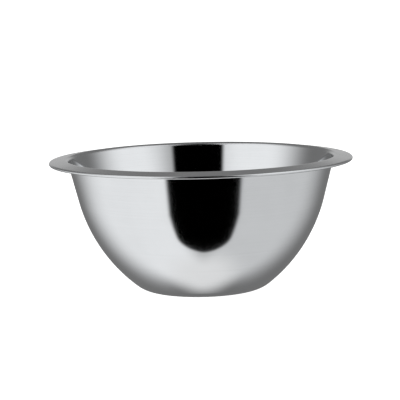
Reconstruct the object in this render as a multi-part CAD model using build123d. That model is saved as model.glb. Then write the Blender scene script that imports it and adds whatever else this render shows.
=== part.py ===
from build123d import *

import os
from dataclasses import dataclass
from math import cos, radians, sin, tan

# Pressed stainless steel mixing bowl with a wide flat rim and a rolled edge.
# The real bowl is one sheet of steel. It is modelled as the seven zones that the press and the edge roller form
# in it, each a solid of its own that meets the next one face to face.

# Driving dimensions, in millimetres and degrees. They give the outside of the sheet.
RIM_DIAMETER = 282.0
HEIGHT = 124.7  # to the crest of the rim's shoulder
SHEET = 0.7
BASE_RADIUS = 45.5  # the flat face that the bowl stands on
KNUCKLE_RADIUS = 28.0
KNUCKLE_LEAN = 51.6  # lean from the vertical where the knuckle becomes the belly
BELLY_RADIUS = 147.5
WALL_LEAN = 14.3  # lean of the straight upper wall
SHOULDER_RADIUS = 3.0  # underside of the bend from the wall to the rim
FLANGE_LEAN = 98.4  # the flat rim falls by 8.4 degrees towards its edge
BEAD_RADIUS = 1.5  # outside radius of the rolled edge
BEAD_END = 375.0  # lean at which the rolled edge stops
BEAD_FLAT = 15.0  # the rolled edge is drawn in flats of this many degrees
LEVEL = 90.0  # lean of a level sheet


@dataclass(frozen=True)
class Bend:
    """A stretch of the sheet that bends about a centre at radius r and height z, from one lean to another.

    The centre is on the bowl's inner side where side is 1, and on its outer side where side is -1.
    """

    r: float
    z: float
    radius: float
    start: float
    end: float
    side: int = 1

    def point(self, lean, depth=0.0):
        """The (radius, height) at a lean, depth millimetres into the sheet from its outer side."""
        reach = self.side * self.radius - depth
        return (self.r + reach * cos(radians(lean)), self.z - reach * sin(radians(lean)))

    def flats(self, step):
        """The closed outline of the sheet along this bend as short flats, for a very tight curl."""
        whole = range(int(self.start // step) + 1, int(self.end // step) + 1)
        leans = [self.start, *(k * step for k in whole)]
        outer = [self.point(lean) for lean in leans]
        inner = [self.point(lean, SHEET) for lean in reversed(leans)]
        return straight(*outer, *inner)

    def section(self):
        """The closed outline of the sheet along this bend as true arcs."""
        leans = [self.start, (self.start + self.end) / 2, self.end]
        outer = [self.point(lean) for lean in leans]
        inner = [self.point(lean, SHEET) for lean in reversed(leans)]
        return [
            ThreePointArc(*outer),
            Line(outer[-1], inner[0]),
            ThreePointArc(*inner),
            Line(inner[-1], outer[0]),
        ]


def straight(*corners):
    """The closed outline of a straight stretch of the sheet from its (radius, height) corners."""
    return [Line(a, b) for a, b in zip(corners, corners[1:] + corners[:1])]


def turned(section):
    """The solid that a closed outline sweeps about the bowl's axis."""
    face = make_face([Plane.XZ * edge for edge in section])
    return revolve(face, Axis.Z, 360)


# The bends, from the base out to the edge.
knuckle = Bend(BASE_RADIUS, KNUCKLE_RADIUS, KNUCKLE_RADIUS, LEVEL, KNUCKLE_LEAN)
belly_foot_r, belly_foot_z = knuckle.point(KNUCKLE_LEAN)
belly = Bend(
    belly_foot_r - BELLY_RADIUS * cos(radians(KNUCKLE_LEAN)),
    belly_foot_z + BELLY_RADIUS * sin(radians(KNUCKLE_LEAN)),
    BELLY_RADIUS,
    KNUCKLE_LEAN,
    WALL_LEAN,
)
wall_foot_r, wall_foot_z = belly.point(WALL_LEAN)
shoulder_z = HEIGHT - SHEET - SHOULDER_RADIUS
wall_top_z = shoulder_z + SHOULDER_RADIUS * sin(radians(WALL_LEAN))
wall_top_r = wall_foot_r + (wall_top_z - wall_foot_z) * tan(radians(WALL_LEAN))
shoulder = Bend(
    wall_top_r + SHOULDER_RADIUS * cos(radians(WALL_LEAN)),
    shoulder_z,
    SHOULDER_RADIUS,
    WALL_LEAN,
    FLANGE_LEAN,
    side=-1,
)
# The flange's top is a straight line that touches both the shoulder's top and the rolled edge's top.
bead_r = RIM_DIAMETER / 2 - BEAD_RADIUS
flange_slope = tan(radians(FLANGE_LEAN - LEVEL))
flange_gap = (SHOULDER_RADIUS + SHEET - BEAD_RADIUS) / cos(radians(FLANGE_LEAN - LEVEL))
bead = Bend(
    bead_r,
    shoulder_z + flange_gap - (bead_r - shoulder.r) * flange_slope,
    BEAD_RADIUS - SHEET,
    FLANGE_LEAN,
    BEAD_END,
    side=-1,
)

sections = {
    "base_disc": straight((0, 0), (BASE_RADIUS, 0), (BASE_RADIUS, SHEET), (0, SHEET)),
    "base_knuckle": knuckle.section(),
    "belly": belly.section(),
    "upper_wall": straight(
        belly.point(WALL_LEAN),
        shoulder.point(WALL_LEAN),
        shoulder.point(WALL_LEAN, SHEET),
        belly.point(WALL_LEAN, SHEET),
    ),
    "rim_shoulder": shoulder.section(),
    "rim_flange": straight(
        shoulder.point(FLANGE_LEAN),
        bead.point(FLANGE_LEAN),
        bead.point(FLANGE_LEAN, SHEET),
        shoulder.point(FLANGE_LEAN, SHEET),
    ),
    "rolled_edge": bead.flats(BEAD_FLAT),
}

os.makedirs("parts", exist_ok=True)
for name, section in sections.items():
    export_step(turned(section), f"parts/{name}.step")

print("belly ends at", [round(x, 2) for x in belly.point(WALL_LEAN)])
print("wall top at", round(wall_top_r, 2), round(wall_top_z, 2))
print("crest at", round(shoulder.r, 2), "and rolled edge about", round(bead.r, 2), round(bead.z, 2))
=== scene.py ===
"""A pressed stainless steel mixing bowl with a wide flat rim and a rolled edge, on a white studio floor.

The bowl is one sheet of steel, drawn as the seven zones that the press and the edge roller form in it.
Each zone is a turned piece of its own: a ring of sheet that follows a short stretch of the bowl's section.
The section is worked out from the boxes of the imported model's nodes, so every piece lies where the model
has it.
"""

import logging
import math
from dataclasses import dataclass, field
from enum import Enum
from typing import Iterator, Sequence

import bmesh
import bpy
from mathutils import Matrix, Vector


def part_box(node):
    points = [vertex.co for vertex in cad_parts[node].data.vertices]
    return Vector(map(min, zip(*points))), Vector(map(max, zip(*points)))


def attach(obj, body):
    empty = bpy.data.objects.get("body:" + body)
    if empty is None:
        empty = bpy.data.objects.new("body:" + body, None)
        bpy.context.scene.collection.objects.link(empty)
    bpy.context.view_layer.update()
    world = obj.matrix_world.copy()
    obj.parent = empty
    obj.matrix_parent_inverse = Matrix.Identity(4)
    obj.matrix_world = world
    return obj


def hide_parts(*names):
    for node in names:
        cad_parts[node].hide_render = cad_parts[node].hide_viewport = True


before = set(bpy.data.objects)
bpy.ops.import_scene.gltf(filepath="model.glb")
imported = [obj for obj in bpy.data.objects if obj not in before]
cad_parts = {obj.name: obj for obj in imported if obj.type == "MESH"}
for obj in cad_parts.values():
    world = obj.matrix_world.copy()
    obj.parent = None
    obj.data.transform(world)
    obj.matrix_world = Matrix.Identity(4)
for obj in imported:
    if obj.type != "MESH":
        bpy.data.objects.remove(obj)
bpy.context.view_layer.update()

LOG = logging.getLogger("mixing_bowl")
ROOT_BODY = "root"
SEGMENTS = 288  # steps around the axis in every turned piece
FLAT = math.pi / 2  # lean of a level sheet, measured from the vertical

Point = tuple[float, float]
Colour = tuple[float, float, float]


# --------------------------------------------------------------------------------------------------
# The bowl's section
# --------------------------------------------------------------------------------------------------


class Skin(Enum):
    """The two faces of the sheet. The value is the face's material index on a turned piece."""

    OUTER = 0
    INNER = 1


@dataclass(frozen=True)
class Station:
    """A place along the section: a point on the sheet's outer face, and the sheet's lean there.

    The lean is the angle from the vertical. It grows from the wall over to the rim and on round the
    rolled edge.
    """

    radius: float
    height: float
    lean: float

    def outward(self) -> Point:
        """The direction (radial, up) that the sheet's outer face looks in."""
        return (math.cos(self.lean), -math.sin(self.lean))

    def on(self, skin: Skin, sheet: float) -> Point:
        """The (radius, height) of this station on one face of a sheet of the given thickness."""
        depth = sheet if skin is Skin.INNER else 0.0
        out = self.outward()
        return (self.radius - depth * out[0], self.height - depth * out[1])

    def normal(self, skin: Skin) -> Point:
        """The direction (radial, up) that one face of the sheet looks in."""
        sign = -1.0 if skin is Skin.INNER else 1.0
        out = self.outward()
        return (sign * out[0], sign * out[1])


@dataclass(frozen=True)
class Bend:
    """A stretch of the section that bends about a centre.

    The side is 1 where the centre is inside the bowl, and -1 where it is outside.
    """

    centre: Point
    radius: float
    start: float
    end: float
    side: int = 1

    def at(self, lean: float) -> Station:
        """The station at a lean."""
        reach = self.side * self.radius
        return Station(
            self.centre[0] + reach * math.cos(lean),
            self.centre[1] - reach * math.sin(lean),
            lean,
        )

    def stations(self, steps: int) -> list[Station]:
        """Evenly spaced stations along the bend.

        Args:
            steps: How many stretches the bend is divided into.

        Returns:
            One more station than there are steps, from the start to the end.
        """
        return [self.at(self.start + (self.end - self.start) * k / steps) for k in range(steps + 1)]


@dataclass(frozen=True)
class Run:
    """A straight stretch of the section between two stations of the same lean."""

    start: Station
    end: Station

    def stations(self, steps: int) -> list[Station]:
        """Evenly spaced stations along the run.

        Args:
            steps: How many stretches the run is divided into.

        Returns:
            One more station than there are steps, from the start to the end.
        """
        made = []
        for k in range(steps + 1):
            share = k / steps
            made.append(
                Station(
                    self.start.radius + (self.end.radius - self.start.radius) * share,
                    self.start.height + (self.end.height - self.start.height) * share,
                    self.start.lean,
                )
            )
        return made


@dataclass(frozen=True)
class Section:
    """The whole section of the bowl, from the axis to the end of the rolled edge."""

    sheet: float
    disc: Run
    knuckle: Bend
    belly: Bend
    wall: Run
    shoulder: Bend
    flange: Run
    curl: Bend

    @staticmethod
    def measured(flange_fall: float, curl_end: float) -> "Section":
        """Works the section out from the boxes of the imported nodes.

        Args:
            flange_fall: How much the flange falls towards its edge, in radians.
            curl_end: The lean at which the rolled edge stops, in radians.

        Returns:
            The section, in metres and radians.
        """
        disc_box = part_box("base_disc")
        sheet = disc_box[1][2] - disc_box[0][2]
        base_radius = disc_box[1][0]
        knuckle_end = (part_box("base_knuckle")[1][0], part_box("belly")[0][2])
        belly_end = (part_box("belly")[1][0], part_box("upper_wall")[0][2])
        wall_end = (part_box("upper_wall")[1][0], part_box("rim_shoulder")[0][2])
        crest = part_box("rim_shoulder")[1][2]
        curl_low, curl_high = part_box("rolled_edge")

        reach, rise = knuckle_end[0] - base_radius, knuckle_end[1]
        knuckle_radius = (reach**2 + rise**2) / (2 * rise)
        knuckle_lean = math.asin(1 - rise / knuckle_radius)
        knuckle = Bend((base_radius, knuckle_radius), knuckle_radius, FLAT, knuckle_lean)

        chord = (belly_end[0] - knuckle_end[0], belly_end[1] - knuckle_end[1])
        inward = (-math.cos(knuckle_lean), math.sin(knuckle_lean))
        belly_radius = (chord[0] ** 2 + chord[1] ** 2) / (2 * (chord[0] * inward[0] + chord[1] * inward[1]))
        belly_centre = (
            knuckle_end[0] + belly_radius * inward[0],
            knuckle_end[1] + belly_radius * inward[1],
        )
        wall_lean = math.acos((belly_end[0] - belly_centre[0]) / belly_radius)
        belly = Bend(belly_centre, belly_radius, knuckle_lean, wall_lean)

        rim_lean = FLAT + flange_fall
        shoulder_radius = (crest - sheet - wall_end[1]) / (1 - math.sin(wall_lean))
        shoulder_centre = (
            wall_end[0] + shoulder_radius * math.cos(wall_lean),
            wall_end[1] - shoulder_radius * math.sin(wall_lean),
        )
        shoulder = Bend(shoulder_centre, shoulder_radius, wall_lean, rim_lean, side=-1)

        curl_radius = (curl_high[2] - curl_low[2]) / (1 + math.sin(rim_lean))
        curl_centre = (curl_high[0] - curl_radius, curl_low[2] + curl_radius)
        curl = Bend(curl_centre, curl_radius - sheet, rim_lean, curl_end, side=-1)

        return Section(
            sheet=sheet,
            disc=Run(Station(0.0, 0.0, FLAT), Station(base_radius, 0.0, FLAT)),
            knuckle=knuckle,
            belly=belly,
            wall=Run(belly.at(wall_lean), shoulder.at(wall_lean)),
            shoulder=shoulder,
            flange=Run(shoulder.at(rim_lean), curl.at(rim_lean)),
            curl=curl,
        )


# --------------------------------------------------------------------------------------------------
# Node benches: small helpers for procedural materials and the studio's light
# --------------------------------------------------------------------------------------------------

Socket = bpy.types.NodeSocket


class Bench:
    """A node tree with short calls for the nodes that the finishes and the studio are made of."""

    def __init__(self, tree: bpy.types.NodeTree) -> None:
        """Starts on an empty tree."""
        self.tree = tree
        self.tree.nodes.clear()

    def node(self, kind: str, **settings: object) -> bpy.types.Node:
        """Adds a node.

        Args:
            kind: Blender's name of the node's type.
            **settings: Properties to set on it.

        Returns:
            The new node.
        """
        made = self.tree.nodes.new(kind)
        for name, value in settings.items():
            setattr(made, name, value)
        return made

    def feed(self, socket: Socket, value: object) -> None:
        """Links a socket's source to it, or sets its constant."""
        if isinstance(value, bpy.types.NodeSocket):
            self.tree.links.new(value, socket)
        else:
            socket.default_value = value

    def math(self, operation: str, *values: object, clamp: bool = False) -> Socket:
        """A Math node's result.

        Args:
            operation: The Math node's operation.
            *values: Its inputs, each a socket or a number.
            clamp: Whether the result is kept between 0 and 1.

        Returns:
            The result's socket.
        """
        made = self.node("ShaderNodeMath", operation=operation, use_clamp=clamp)
        for socket, value in zip(made.inputs, values):
            self.feed(socket, value)
        return made.outputs[0]

    def ease(self, value: Socket, low: object, high: object) -> Socket:
        """Goes smoothly from 0 to 1 as a value goes from low to high.

        Args:
            value: What is compared.
            low: Where the result leaves 0, a socket or a number.
            high: Where the result reaches 1, a socket or a number.

        Returns:
            The result's socket.
        """
        made = self.node("ShaderNodeMapRange", interpolation_type="SMOOTHERSTEP")
        self.feed(made.inputs["Value"], value)
        self.feed(made.inputs["From Min"], low)
        self.feed(made.inputs["From Max"], high)
        return made.outputs["Result"]

    def stretch(self, value: Socket, source: Point, target: Point) -> Socket:
        """Maps a value from one range to another in a straight line, kept inside the target range.

        Args:
            value: What is mapped.
            source: The range it comes from.
            target: The range it goes to.

        Returns:
            The result's socket.
        """
        made = self.node("ShaderNodeMapRange")
        for name, number in zip(("From Min", "From Max", "To Min", "To Max"), (*source, *target)):
            made.inputs[name].default_value = number
        self.feed(made.inputs["Value"], value)
        return made.outputs["Result"]

    def mix(self, factor: object, a: object, b: object, blend: str = "MIX") -> Socket:
        """Mixes two colours.

        Args:
            factor: How much of b, a socket or a number.
            a: The first colour.
            b: The second colour.
            blend: The Mix node's blend type.

        Returns:
            The mixed colour's socket.
        """
        made = self.node("ShaderNodeMix", data_type="RGBA", blend_type=blend)
        self.feed(made.inputs[0], factor)
        for socket, value in ((made.inputs[6], a), (made.inputs[7], b)):
            self.feed(socket, value if isinstance(value, bpy.types.NodeSocket) else (*value, 1.0))
        return made.outputs[2]

    def noise(self, vector: Socket, scale: float, detail: float = 2.0, roughness: float = 0.5) -> Socket:
        """A noise texture's value.

        Args:
            vector: Where it is read.
            scale: How fine it is.
            detail: How many finer octaves it has.
            roughness: How strong those octaves are.

        Returns:
            The value's socket, around 0.5.
        """
        made = self.node("ShaderNodeTexNoise")
        self.feed(made.inputs["Vector"], vector)
        made.inputs["Scale"].default_value = scale
        made.inputs["Detail"].default_value = detail
        made.inputs["Roughness"].default_value = roughness
        return made.outputs["Fac"]


def tone(value: float, tint: Colour = (1.0, 1.0, 1.0)) -> Colour:
    """The linear colour of a display tone.

    Args:
        value: The tone on a screen, from 0 to 1.
        tint: How much of each of red, green and blue it keeps.

    Returns:
        The linear colour.
    """
    linear = value / 12.92 if value <= 0.04045 else ((value + 0.055) / 1.055) ** 2.4
    return (linear * tint[0], linear * tint[1], linear * tint[2])


# --------------------------------------------------------------------------------------------------
# Finishes
# --------------------------------------------------------------------------------------------------


@dataclass(frozen=True)
class SteelFinish:
    """Stainless steel with fine turning lines that run round the bowl, and faint smears where it is handled.

    Sizes are in metres. The line depth is the height of the bump that the turning lines make.
    """

    name: str
    colour: Colour = (0.80, 0.81, 0.82)
    roughness: float = 0.06
    roughness_spread: float = 0.02
    line_pitch: float = 0.0006
    line_depth: float = 0.0
    smear_size: float = 0.05
    anisotropy: float = 0.0

    def build(self) -> bpy.types.Material:
        """Makes the finish's material.

        Returns:
            The material, procedural throughout.
        """
        material = bpy.data.materials.new(self.name)
        material.use_nodes = True
        bench = Bench(material.node_tree)
        rings, place = self.ring_place(bench)
        shader = bench.node("ShaderNodeBsdfPrincipled")
        shader.inputs["Metallic"].default_value = 1.0
        shader.inputs["Anisotropic"].default_value = self.anisotropy
        lines = bench.noise(rings, 1.0 / self.line_pitch, detail=3.0, roughness=0.6)
        smears = bench.noise(place, 1.0 / self.smear_size, detail=4.0, roughness=0.55)
        bench.feed(shader.inputs["Base Color"], self.colours(bench, lines, smears))
        bench.feed(shader.inputs["Roughness"], self.sheen(bench, lines, smears))
        if self.line_depth:
            bump = bench.node("ShaderNodeBump")
            bump.inputs["Strength"].default_value = 1.0
            bump.inputs["Distance"].default_value = self.line_depth
            bench.feed(bump.inputs["Height"], lines)
            bench.feed(shader.inputs["Normal"], bump.outputs["Normal"])
        if self.anisotropy:
            tangent = bench.node("ShaderNodeTangent", direction_type="RADIAL", axis="Z")
            bench.feed(shader.inputs["Tangent"], tangent.outputs["Tangent"])
        output = bench.node("ShaderNodeOutputMaterial")
        bench.feed(output.inputs["Surface"], shader.outputs["BSDF"])
        return material

    @staticmethod
    def ring_place(bench: Bench) -> tuple[Socket, Socket]:
        """Where a point is along the section, and where it is on the bowl.

        Args:
            bench: The material's bench.

        Returns:
            A vector that is the same all round the axis, and the plain position.
        """
        place = bench.node("ShaderNodeTexCoord").outputs["Object"]
        split = bench.node("ShaderNodeSeparateXYZ")
        bench.feed(split.inputs[0], place)
        across, along = (bench.math("POWER", split.outputs[index], 2.0) for index in (0, 1))
        squared = bench.math("ADD", across, along)
        rings = bench.node("ShaderNodeCombineXYZ")
        bench.feed(rings.inputs[0], bench.math("SQRT", squared))
        bench.feed(rings.inputs[1], split.outputs[2])
        return rings.outputs[0], place

    def colours(self, bench: Bench, lines: Socket, smears: Socket) -> Socket:
        """The steel's colour, a touch darker in the lines and where it is smeared."""
        darker = tuple(0.94 * part for part in self.colour)
        shade = bench.math("ADD", bench.math("MULTIPLY", lines, 0.5), bench.math("MULTIPLY", smears, 0.5))
        return bench.mix(bench.ease(shade, 0.35, 0.75), self.colour, darker)

    def sheen(self, bench: Bench, lines: Socket, smears: Socket) -> Socket:
        """The steel's roughness, a little different from line to line and smear to smear."""
        low = self.roughness - self.roughness_spread
        high = self.roughness + self.roughness_spread
        blended = bench.math("ADD", bench.math("MULTIPLY", lines, 0.6), bench.math("MULTIPLY", smears, 0.4))
        return bench.stretch(blended, (0.3, 0.7), (low, high))


@dataclass(frozen=True)
class FloorFinish:
    """A white studio floor that keeps its tone wherever the light falls, with a faint paper grain."""

    name: str = "studio_floor"
    glow: float = 0.93
    grain: float = 0.004

    def build(self) -> bpy.types.Material:
        """Makes the floor's material.

        Returns:
            The material.
        """
        material = bpy.data.materials.new(self.name)
        material.use_nodes = True
        bench = Bench(material.node_tree)
        place = bench.node("ShaderNodeTexCoord").outputs["Object"]
        grain = bench.noise(place, 1.0 / self.grain)
        shader = bench.node("ShaderNodeBsdfPrincipled")
        shader.inputs["Roughness"].default_value = 0.9
        shader.inputs["Emission Strength"].default_value = self.glow
        shader.inputs["Emission Color"].default_value = (1.0, 1.0, 1.0, 1.0)
        bench.feed(shader.inputs["Base Color"], bench.mix(grain, (0.84, 0.84, 0.84), (0.88, 0.88, 0.88)))
        output = bench.node("ShaderNodeOutputMaterial")
        bench.feed(output.inputs["Surface"], shader.outputs["BSDF"])
        return material


# --------------------------------------------------------------------------------------------------
# Turned pieces
# --------------------------------------------------------------------------------------------------


@dataclass
class TurnedZone:
    """A zone of the bowl: the ring of sheet that a stretch of the section sweeps about the axis.

    The faces carry the section's own normals, so that a reflection runs on unbroken from zone to zone.
    """

    name: str
    node: str
    slot: str
    stretch: Bend | Run
    steps: int
    sheet: float
    outside: bpy.types.Material
    inside: bpy.types.Material
    piece: bpy.types.Object | None = None

    def build(self) -> bpy.types.Object:
        """Makes the zone's mesh and object.

        Returns:
            The new object, in place in the bowl's own frame.
        """
        stations = self.stretch.stations(self.steps)
        form = bmesh.new()
        corners: list[Vector] = []
        rows = {skin: self.rings(form, stations, skin) for skin in Skin}
        for skin in Skin:
            self.lay_skin(form, rows[skin], stations, skin, corners)
        self.close_end(form, rows, stations, 0, corners)
        self.close_end(form, rows, stations, -1, corners)
        mesh = bpy.data.meshes.new(self.name)
        form.to_mesh(mesh)
        form.free()
        mesh.polygons.foreach_set("use_smooth", [True] * len(mesh.polygons))
        mesh.normals_split_custom_set(corners)
        self.piece = bpy.data.objects.new(self.name, mesh)
        bpy.context.scene.collection.objects.link(self.piece)
        return self.piece

    def dress(self) -> None:
        """Gives the piece its finishes, ties it to the body, and hides the imported node it stands for."""
        self.piece.data.materials.append(self.outside)
        self.piece.data.materials.append(self.inside)
        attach(self.piece, ROOT_BODY)
        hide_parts(self.node)

    def rings(
        self, form: bmesh.types.BMesh, stations: Sequence[Station], skin: Skin
    ) -> list[list[bmesh.types.BMVert]]:
        """Adds a ring of vertices for each station of one face of the sheet.

        Args:
            form: The mesh in the making.
            stations: The places along the section.
            skin: Which face of the sheet.

        Returns:
            The rings. A station on the axis has one vertex.
        """
        rows = []
        for station in stations:
            radius, height = station.on(skin, self.sheet)
            turns = SEGMENTS if radius > self.sheet * 0.01 else 1
            rows.append([form.verts.new(turned(radius, height, k)) for k in range(turns)])
        return rows

    def lay_skin(
        self,
        form: bmesh.types.BMesh,
        rows: Sequence[Sequence[bmesh.types.BMVert]],
        stations: Sequence[Station],
        skin: Skin,
        corners: list[Vector],
    ) -> None:
        """Adds the faces between the rings of one face of the sheet, with their normals.

        Args:
            form: The mesh in the making.
            rows: The rings of vertices.
            stations: The places along the section.
            skin: Which face of the sheet.
            corners: The list that the normal of each face corner is added to.
        """
        for k in range(len(rows) - 1):
            near = stations[k].normal(skin)
            far = stations[k + 1].normal(skin)
            for turn, (a, b) in enumerate(steps_round()):
                quad = [(rows[k], a, near), (rows[k], b, near), (rows[k + 1], b, far), (rows[k + 1], a, far)]
                if len(rows[k]) == 1:
                    quad = [(rows[k], turn, near), *quad[2:]]
                self.add_face(form, quad, skin, corners)

    def close_end(
        self,
        form: bmesh.types.BMesh,
        rows: dict[Skin, list[list[bmesh.types.BMVert]]],
        stations: Sequence[Station],
        end: int,
        corners: list[Vector],
    ) -> None:
        """Closes the sheet between its two faces at one end of the zone.

        Args:
            form: The mesh in the making.
            rows: The rings of vertices of each face.
            stations: The places along the section.
            end: 0 for the first station, or -1 for the last.
            corners: The list that the normal of each face corner is added to.
        """
        outer, inner = rows[Skin.OUTER][end], rows[Skin.INNER][end]
        if len(outer) == 1:
            return
        lean = stations[end].lean
        along = (math.sin(lean), math.cos(lean))
        looks = along if end else (-along[0], -along[1])
        for a, b in steps_round():
            quad = [(outer, a, looks), (outer, b, looks), (inner, b, looks), (inner, a, looks)]
            self.add_face(form, quad if end == -1 else quad[::-1], Skin.OUTER, corners, as_given=True)

    @staticmethod
    def add_face(
        form: bmesh.types.BMesh,
        quad: list[tuple[Sequence[bmesh.types.BMVert], int, Point]],
        skin: Skin,
        corners: list[Vector],
        as_given: bool = False,
    ) -> None:
        """Adds one face, turned the right way out, and its corners' normals.

        Args:
            form: The mesh in the making.
            quad: Each corner's ring, its step round the ring, and the (radial, up) direction it looks in.
            skin: Which face of the sheet it is on.
            corners: The list that the normals are added to.
            as_given: Whether the corners are already in their final order.
        """
        if skin is Skin.INNER and not as_given:
            quad = quad[::-1]
        face = form.faces.new([ring[step % len(ring)] for ring, step, _ in quad])
        face.material_index = skin.value
        corners.extend(Vector(turned(looks[0], looks[1], step)) for _, step, looks in quad)


def turned(radial: float, up: float, step: int) -> Vector:
    """A (radial, up) pair as a vector, a number of steps round the axis."""
    angle = 2 * math.pi * step / SEGMENTS
    return Vector((radial * math.cos(angle), radial * math.sin(angle), up))


def steps_round() -> Iterator[tuple[int, int]]:
    """Each step round the axis, with the one after it."""
    for k in range(SEGMENTS):
        yield k, (k + 1) % SEGMENTS


# --------------------------------------------------------------------------------------------------
# The sub-assemblies
# --------------------------------------------------------------------------------------------------


@dataclass
class BowlShell:
    """The part of the sheet that holds the food: the base disc, its knuckle, the belly and the upper wall."""

    section: Section
    disc_steps: int = 24
    knuckle_steps: int = 24
    belly_steps: int = 72
    wall_steps: int = 8
    outside: SteelFinish = SteelFinish(
        "steel_outside", roughness=0.09, line_pitch=0.0005, line_depth=0.0000002
    )
    inside: SteelFinish = SteelFinish("steel_inside", roughness=0.05, line_pitch=0.0007, line_depth=0.0000001)
    underside: SteelFinish = SteelFinish(
        "steel_underside", roughness=0.24, line_pitch=0.0009, line_depth=0.000002
    )
    zones: list[TurnedZone] = field(default_factory=list)

    def build(self) -> list[bpy.types.Object]:
        """Makes the four zones.

        Returns:
            Their objects, from the base up.
        """
        outer, inner, under = (finish.build() for finish in (self.outside, self.inside, self.underside))
        shape = self.section
        plan = (
            ("Base_disc", "base_disc", "underside_steel", shape.disc, self.disc_steps, under),
            ("Base_knuckle", "base_knuckle", "polished_steel", shape.knuckle, self.knuckle_steps, outer),
            ("Belly", "belly", "polished_steel", shape.belly, self.belly_steps, outer),
            ("Upper_wall", "upper_wall", "polished_steel", shape.wall, self.wall_steps, outer),
        )
        for name, node, slot, stretch, steps, skin in plan:
            self.zones.append(TurnedZone(name, node, slot, stretch, steps, self.section.sheet, skin, inner))
        return [zone.build() for zone in self.zones]

    def dress(self) -> None:
        """Gives the four zones their finishes."""
        for zone in self.zones:
            zone.dress()


@dataclass
class Rim:
    """The pressed rim: the shoulder that turns the sheet level, the flange, and the rolled edge."""

    section: Section
    shoulder_steps: int = 14
    flange_steps: int = 12
    curl_steps: int = 44
    top: SteelFinish = SteelFinish(
        "steel_rim_top", colour=(0.78, 0.79, 0.80), roughness=0.2, line_pitch=0.0004, line_depth=0.000001
    )
    beneath: SteelFinish = SteelFinish("steel_rim_beneath", colour=(0.78, 0.79, 0.80), roughness=0.12)
    zones: list[TurnedZone] = field(default_factory=list)

    def build(self) -> list[bpy.types.Object]:
        """Makes the three zones.

        Returns:
            Their objects, from the wall out.
        """
        top, beneath = self.top.build(), self.beneath.build()
        plan = (
            ("Rim_shoulder", "rim_shoulder", self.section.shoulder, self.shoulder_steps),
            ("Rim_flange", "rim_flange", self.section.flange, self.flange_steps),
            ("Rolled_edge", "rolled_edge", self.section.curl, self.curl_steps),
        )
        for name, node, stretch, steps in plan:
            self.zones.append(
                TurnedZone(name, node, "rim_steel", stretch, steps, self.section.sheet, beneath, top)
            )
        return [zone.build() for zone in self.zones]

    def dress(self) -> None:
        """Gives the three zones their finishes."""
        for zone in self.zones:
            zone.dress()


# --------------------------------------------------------------------------------------------------
# The studio
# --------------------------------------------------------------------------------------------------


RIM_LEVEL: Point = (-8.0, 6.0)  # elevations, in degrees, between the tent's low part and its high part


@dataclass(frozen=True)
class SoftPanel:
    """A wide soft light in the tent's wall. Its place and widths are azimuths, in degrees."""

    azimuth: float
    half_width: float
    fade: float
    brightness: float

    def lay(self, bench: Bench, azimuth: Socket, wall: object) -> Socket:
        """Lays the panel over the wall.

        Args:
            bench: The world's bench.
            azimuth: The direction's azimuth.
            wall: The colour of the wall without it.

        Returns:
            The colour's socket.
        """
        side = bench.math("ABSOLUTE", bench.math("SUBTRACT", azimuth, self.azimuth))
        away = bench.ease(side, self.half_width, self.half_width + self.fade)
        return bench.mix(away, tone(self.brightness, (0.985, 0.995, 1.005)), wall)


@dataclass(frozen=True)
class BlackCard:
    """A tall black card in front, narrower above the rim's level, with both its ends rounded. In degrees."""

    azimuth: float = 2.5
    low_half_width: float = 39.0
    high_half_width: float = 27.0
    foot: float = -67.5
    head: float = 64.0
    foot_round: float = 15.0
    head_round: float = 22.0
    edge: float = 3.0

    def clear(self, bench: Bench, azimuth: Socket, elevation: Socket) -> Socket:
        """How far a direction is clear of the card.

        Args:
            bench: The world's bench.
            azimuth: The direction's azimuth.
            elevation: The direction's elevation.

        Returns:
            The socket, 0 on the card and 1 beside it.
        """
        high = bench.ease(elevation, *RIM_LEVEL)
        narrowing = bench.math("MULTIPLY", high, self.low_half_width - self.high_half_width)
        width = bench.math("SUBTRACT", self.low_half_width, narrowing)
        under = bench.stretch(elevation, (self.foot + self.foot_round, self.foot), (0.0, 1.0))
        over = bench.stretch(elevation, (self.head - self.head_round, self.head), (0.0, 1.0))
        end = bench.math("MAXIMUM", under, over)
        rounded = bench.math("SQRT", bench.math("SUBTRACT", 1.0, bench.math("MULTIPLY", end, end)))
        outside = bench.math("MULTIPLY", width, rounded)
        side = bench.math("ABSOLUTE", bench.math("SUBTRACT", azimuth, self.azimuth))
        return bench.ease(side, bench.math("SUBTRACT", outside, 2 * self.edge), outside)


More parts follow.
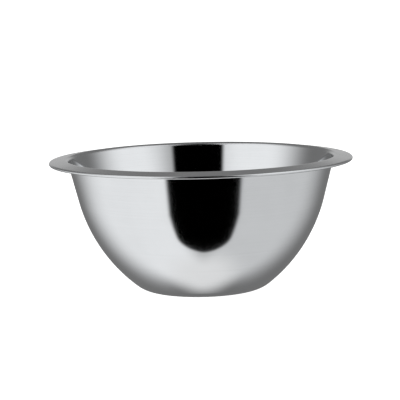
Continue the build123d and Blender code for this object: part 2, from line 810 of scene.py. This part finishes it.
@dataclass
class Studio:
    """A white tent with a black card in front, as the steel mirrors it, and a white floor.

    Directions are in degrees. Azimuth 0 is the camera's side, and grows towards the bowl's +X side.
    """

    card: BlackCard = BlackCard()
    high_panels: tuple[SoftPanel, ...] = (
        SoftPanel(-52.0, 8.0, 65.0, 1.0),
        SoftPanel(66.0, 4.0, 60.0, 1.0),
    )
    low_panels: tuple[SoftPanel, ...] = (
        SoftPanel(-70.0, 27.0, 66.0, 0.98),
        SoftPanel(68.0, 30.0, 60.0, 0.84),
    )
    backdrop: float = 0.47
    horizon: float = 0.74
    zenith: float = 0.44
    nadir: float = 0.94
    roof_fade: Point = (52.0, 72.0)
    nadir_fade: Point = (-58.0, -84.0)
    glow_side_fade: Point = (140.0, 172.0)
    glow_foot_fade: Point = (-7.0, 1.0)
    glow_head_fade: Point = (21.0, 9.0)
    floor_size: float = 60.0

    def build(self) -> None:
        """Makes the floor, the lamp and the light that comes from every side."""
        self.build_floor()
        self.build_lamp()
        self.build_sky()

    def build_floor(self) -> None:
        """Makes the floor, which the steel doesn't mirror, because the tent has its own tone below."""
        form = bmesh.new()
        half = self.floor_size / 2
        corners = ((-half, -half), (half, -half), (half, half), (-half, half))
        form.faces.new([form.verts.new((x, y, -0.0001)) for x, y in corners])
        mesh = bpy.data.meshes.new("Studio_floor")
        form.to_mesh(mesh)
        form.free()
        floor = bpy.data.objects.new("Studio_floor", mesh)
        floor.data.materials.append(FloorFinish().build())
        floor.visible_glossy = False
        bpy.context.scene.collection.objects.link(floor)

    def build_lamp(self) -> None:
        """Makes the wide lamp overhead, which lights the floor alone."""
        light = bpy.data.lights.new("Overhead_softbox", "AREA")
        light.shape = "RECTANGLE"
        light.size = 1.6
        light.size_y = 1.6
        light.energy = 6.0
        lamp = bpy.data.objects.new("Overhead_softbox", light)
        lamp.location = (0.0, 0.0, 1.6)
        lamp.visible_glossy = False
        lamp.visible_camera = False
        bpy.context.scene.collection.objects.link(lamp)

    def build_sky(self) -> None:
        """Makes the tent's light, which is plain white to the camera."""
        world = bpy.data.worlds.new("Studio_tent")
        bpy.context.scene.world = world
        world.use_nodes = True
        bench = Bench(world.node_tree)
        azimuth, elevation = self.directions(bench)
        seen = bench.node("ShaderNodeLightPath").outputs["Is Camera Ray"]
        tent = self.tent(bench, azimuth, elevation)
        colour = bench.mix(seen, tent, (1.0, 1.0, 1.0))
        light = bench.node("ShaderNodeBackground")
        bench.feed(light.inputs["Color"], colour)
        output = bench.node("ShaderNodeOutputWorld")
        bench.feed(output.inputs["Surface"], light.outputs["Background"])

    def directions(self, bench: Bench) -> tuple[Socket, Socket]:
        """The azimuth and elevation that light comes from, in degrees.

        Args:
            bench: The world's bench.

        Returns:
            The two sockets.
        """
        split = bench.node("ShaderNodeSeparateXYZ")
        bench.feed(split.inputs[0], bench.node("ShaderNodeTexCoord").outputs["Generated"])
        x, y, z = split.outputs
        azimuth = bench.math("DEGREES", bench.math("ARCTAN2", x, bench.math("MULTIPLY", y, -1.0)))
        elevation = bench.math("DEGREES", bench.math("ARCSINE", z))
        return azimuth, elevation

    def tent(self, bench: Bench, azimuth: Socket, elevation: Socket) -> Socket:
        """The tent's colour in a direction.

        Args:
            bench: The world's bench.
            azimuth: The direction's azimuth.
            elevation: The direction's elevation.

        Returns:
            The colour's socket.
        """
        high = self.wall(bench, azimuth, self.high_panels)
        low = self.wall(bench, azimuth, self.low_panels)
        walls = bench.mix(bench.ease(elevation, *RIM_LEVEL), low, high)
        glowing = bench.mix(self.horizon_glow(bench, azimuth, elevation), walls, tone(self.horizon))
        roofed = bench.mix(bench.ease(elevation, *self.roof_fade), glowing, tone(self.zenith))
        tented = bench.mix(bench.ease(elevation, *self.nadir_fade), roofed, tone(self.nadir))
        return bench.mix(self.card.clear(bench, azimuth, elevation), (0.0, 0.0, 0.0), tented)

    def horizon_glow(self, bench: Bench, azimuth: Socket, elevation: Socket) -> Socket:
        """How strongly the floor's far edge glows in a direction.

        Args:
            bench: The world's bench.
            azimuth: The direction's azimuth.
            elevation: The direction's elevation.

        Returns:
            The socket, 1 in the middle of the glow, low down behind the bowl.
        """
        behind = bench.ease(bench.math("ABSOLUTE", azimuth), *self.glow_side_fade)
        above = bench.ease(elevation, *self.glow_foot_fade)
        below = bench.ease(elevation, *self.glow_head_fade)
        return bench.math("MULTIPLY", behind, bench.math("MULTIPLY", above, below))

    def wall(self, bench: Bench, azimuth: Socket, panels: Sequence[SoftPanel]) -> Socket:
        """The tent's wall at one level, with its panels.

        Args:
            bench: The world's bench.
            azimuth: The direction's azimuth.
            panels: The panels at that level.

        Returns:
            The colour's socket.
        """
        colour: object = tone(self.backdrop)
        for panel in panels:
            colour = panel.lay(bench, azimuth, colour)
        return colour


@dataclass
class Viewpoint:
    """The camera: a long lens a little above the rim, slightly rolled, with the bowl below the middle."""

    elevation: float = math.radians(8.35)
    distance: float = 1.8667
    roll: float = math.radians(1.31)
    lens: float = 179.8
    aim_height: float = 0.056
    lift: float = math.radians(0.829)
    swing: float = math.radians(0.067)

    def build(self) -> bpy.types.Object:
        """Makes the camera and the scene's view settings.

        Returns:
            The camera's object.
        """
        back = Vector((0.0, -math.cos(self.elevation), math.sin(self.elevation)))
        right = Vector((1.0, 0.0, 0.0))
        up = back.cross(right)
        turn = Matrix((right, up, back)).transposed()
        aim = (
            turn
            @ Matrix.Rotation(-self.roll, 3, "Z")
            @ Matrix.Rotation(self.swing, 3, "Y")
            @ Matrix.Rotation(self.lift, 3, "X")
        )
        data = bpy.data.cameras.new("Camera")
        data.lens = self.lens
        data.sensor_width = 36.0
        camera = bpy.data.objects.new("Camera", data)
        place = Vector((0.0, 0.0, self.aim_height)) + back * self.distance
        camera.matrix_world = Matrix.Translation(place) @ aim.to_4x4()
        bpy.context.scene.collection.objects.link(camera)
        bpy.context.scene.camera = camera
        bpy.context.scene.view_settings.view_transform = "Standard"
        return camera


# --------------------------------------------------------------------------------------------------
# The whole scene
# --------------------------------------------------------------------------------------------------


def main() -> None:
    """Builds the camera, the studio and the bowl, and logs each piece."""
    logging.basicConfig(level=logging.INFO, format="%(message)s")
    Viewpoint().build()
    Studio().build()
    section = Section.measured(flange_fall=math.radians(8.4), curl_end=math.radians(375.0))
    for assembly in (BowlShell(section), Rim(section)):
        for piece in assembly.build():
            LOG.info("%s: %d faces", piece.name, len(piece.data.polygons))
        assembly.dress()


if __name__ == "__main__":
    main()
